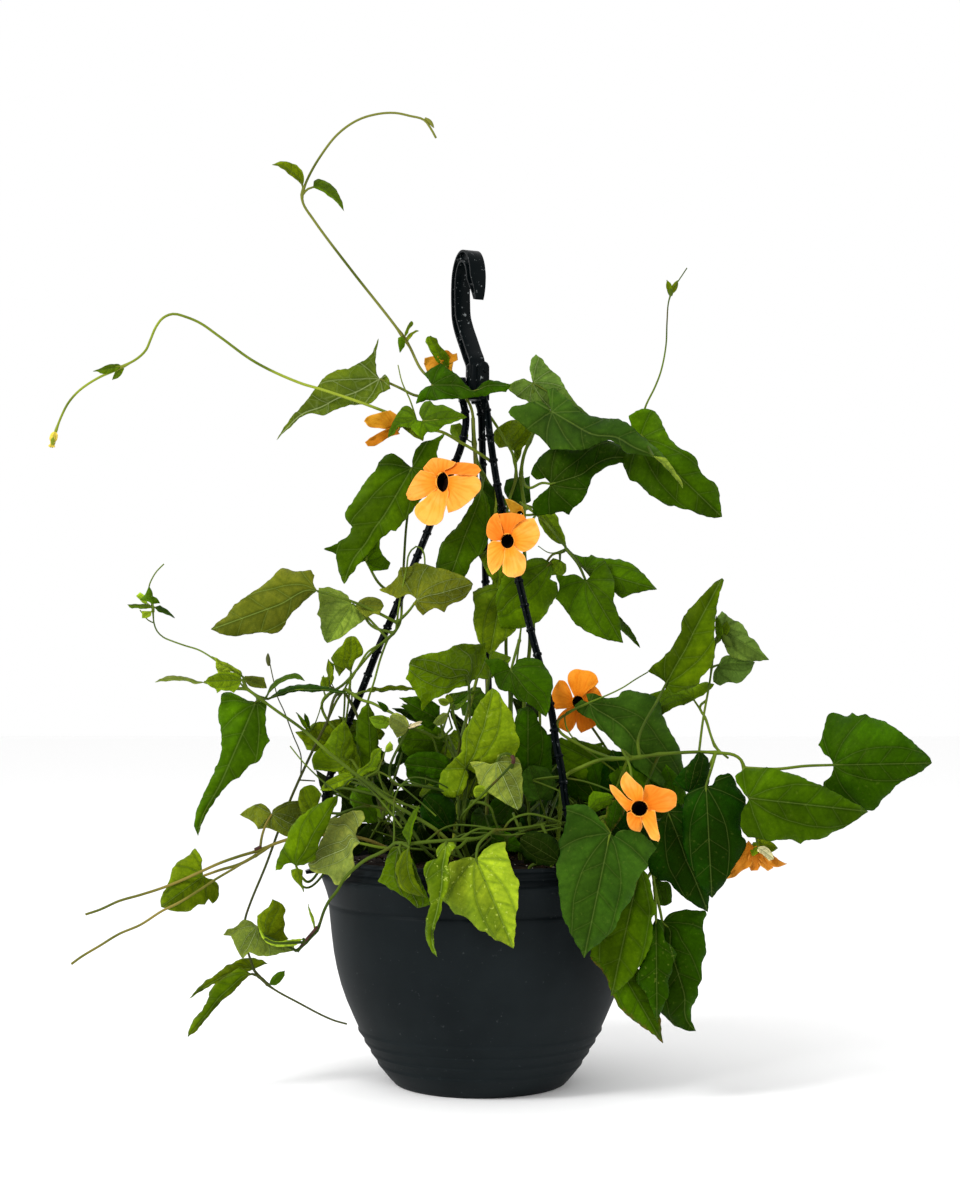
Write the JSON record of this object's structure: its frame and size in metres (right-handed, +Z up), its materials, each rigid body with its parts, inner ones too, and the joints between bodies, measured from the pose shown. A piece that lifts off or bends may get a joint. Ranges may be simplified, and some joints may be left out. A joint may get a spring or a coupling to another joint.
{
  "type": "black eyed susan vine in a hanging pot",
  "caption": "Climbing vine with arrow-shaped leaves and orange, dark-eyed flowers twining up the hanger of a round dark plastic hanging pot.",
  "frame": {"origin": "centre of the pot's flat base", "axes": "+Z up along the pot's axis, -Y towards the front of the plant, +X to its right as seen from the front"},
  "size_m": [0.5395, 0.241, 0.6224],
  "materials": {
    "pot_plastic": "matte",
    "hanger_plastic": "satin",
    "soil": "matte",
    "foliage": "satin",
    "petal_orange": "satin",
    "throat_dark": "matte"
  },
  "bodies": {
    "root": {"pot": "pot_plastic", "soil": "soil", "hook": "hanger_plastic", "arm_left": "hanger_plastic", "arm_right": "hanger_plastic", "arm_rear": "hanger_plastic", "vine_top": "foliage", "vine_left_tendril": "foliage", "vine_centre": "foliage", "vine_left_arm": "foliage", "vine_right_upper": "foliage", "vine_right_middle": "foliage", "vine_clump": "foliage", "vine_right": "foliage", "vine_front_right": "foliage", "vine_front": "foliage", "vine_left": "foliage", "vine_left_low": "foliage", "vine_left_clump": "foliage", "vine_trailing": "foliage", "vine_rear_left": "foliage", "vine_rear_right": "foliage", "flower_a": "petal_orange", "flower_b": "petal_orange", "flower_c": "petal_orange", "flower_d": "petal_orange", "flower_e": "petal_orange", "flower_f": "petal_orange", "flower_g": "petal_orange", "flower_h": "petal_orange", "flower_a_eye": "throat_dark", "flower_b_eye": "throat_dark", "flower_d_eye": "throat_dark", "flower_e_eye": "throat_dark"}
  },
  "joints": []
}
